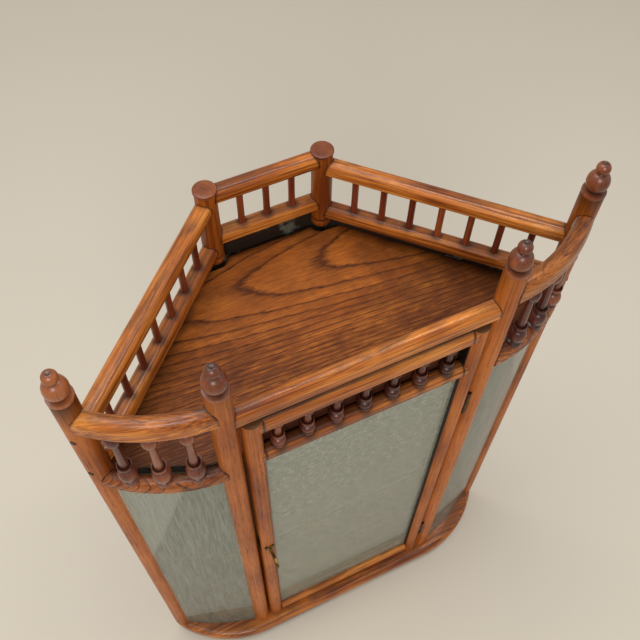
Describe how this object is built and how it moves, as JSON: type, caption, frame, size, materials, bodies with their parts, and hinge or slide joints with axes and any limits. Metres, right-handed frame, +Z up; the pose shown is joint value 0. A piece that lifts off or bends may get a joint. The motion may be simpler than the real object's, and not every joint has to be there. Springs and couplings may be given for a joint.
{
  "type": "corner wall cabinet",
  "caption": "Corner display cabinet with a flat glazed door between round posts, bowed side glass and a spindle gallery around its top board.",
  "frame": {"origin": "on the floor under the middle of the bounding box", "axes": "+X to the right of someone facing the door, +Y from the door towards the corner of the room, +Z up"},
  "size_m": [0.5768, 0.3126, 0.8908],
  "materials": {
    "polished_wood": "satin French-polished red-brown wood with dark open grain",
    "dark_turned_wood": "glossy dark stained turned wood",
    "painted_lining": "matt pale grey-green paint",
    "clear_glass": "clear, slightly green, thin window glass",
    "aged_brass": "aged brass",
    "dark_steel": "blackened steel"
  },
  "bodies": {
    "carcase": {"base_board": "polished_wood", "cap_back_left": "dark_turned_wood", "cap_back_right": "dark_turned_wood", "dowels_back": "polished_wood", "dowels_side_left": "polished_wood", "dowels_side_right": "polished_wood", "finial_front_left": "dark_turned_wood", "finial_front_right": "dark_turned_wood", "finial_wall_left": "dark_turned_wood", "finial_wall_right": "dark_turned_wood", "glass_curved_left": "clear_glass", "glass_curved_right": "clear_glass", "hinge_leaves_post": "aged_brass", "hinge_pins": "aged_brass", "panel_back": "painted_lining", "panel_side_left": "painted_lining", "panel_side_right": "painted_lining", "plinth": "dark_turned_wood", "post_back_left": "polished_wood", "post_back_right": "polished_wood", "post_front_left": "polished_wood", "post_front_right": "polished_wood", "post_wall_left": "polished_wood", "post_wall_right": "polished_wood", "rail_front": "polished_wood", "rail_lower_back": "polished_wood", "rail_lower_curved_left": "polished_wood", "rail_lower_curved_right": "polished_wood", "rail_lower_side_left": "polished_wood", "rail_lower_side_right": "polished_wood", "rail_screws": "dark_steel", "rail_upper_back": "polished_wood", "rail_upper_curved_left": "polished_wood", "rail_upper_curved_right": "polished_wood", "rail_upper_side_left": "polished_wood", "rail_upper_side_right": "polished_wood", "shelf": "painted_lining", "shelf_cleats": "painted_lining", "spindles_curved_left": "dark_turned_wood", "spindles_curved_right": "dark_turned_wood", "top_board": "polished_wood"},
    "door": {"door_beads": "polished_wood", "door_bobbins": "dark_turned_wood", "door_bottom_rail": "polished_wood", "door_frieze_panel": "painted_lining", "door_glass": "clear_glass", "door_moulding_lower": "polished_wood", "door_moulding_upper": "polished_wood", "door_stile_left": "polished_wood", "door_stile_right": "polished_wood", "hinge_leaves_door": "aged_brass", "lock_case": "dark_steel", "lock_escutcheon": "aged_brass"},
    "lock_bolt": {"lock_bolt": "aged_brass"},
    "lock_key": {"lock_key": "aged_brass"}
  },
  "joints": [
    {"name": "door_hinge", "type": "hinge", "parent": "carcase", "child": "door", "pos_m": [0.1393, -0.1216, 0.4], "axis": [0, 0, 1], "range_deg": [0, 110]},
    {"name": "key_turn", "type": "hinge", "parent": "door", "child": "lock_key", "pos_m": [-0.12685, -0.1151, 0.405], "axis": [0, 1, 0], "range_deg": [0, 90]},
    {"name": "bolt_slide", "type": "slide", "parent": "door", "child": "lock_bolt", "axis": [-1, 0, 0], "range_m": [0, 0.009]}
  ],
  "couplings": [
    {"joint": "bolt_slide", "follows": "key_turn", "m_per_rad": 0.005729}
  ]
}
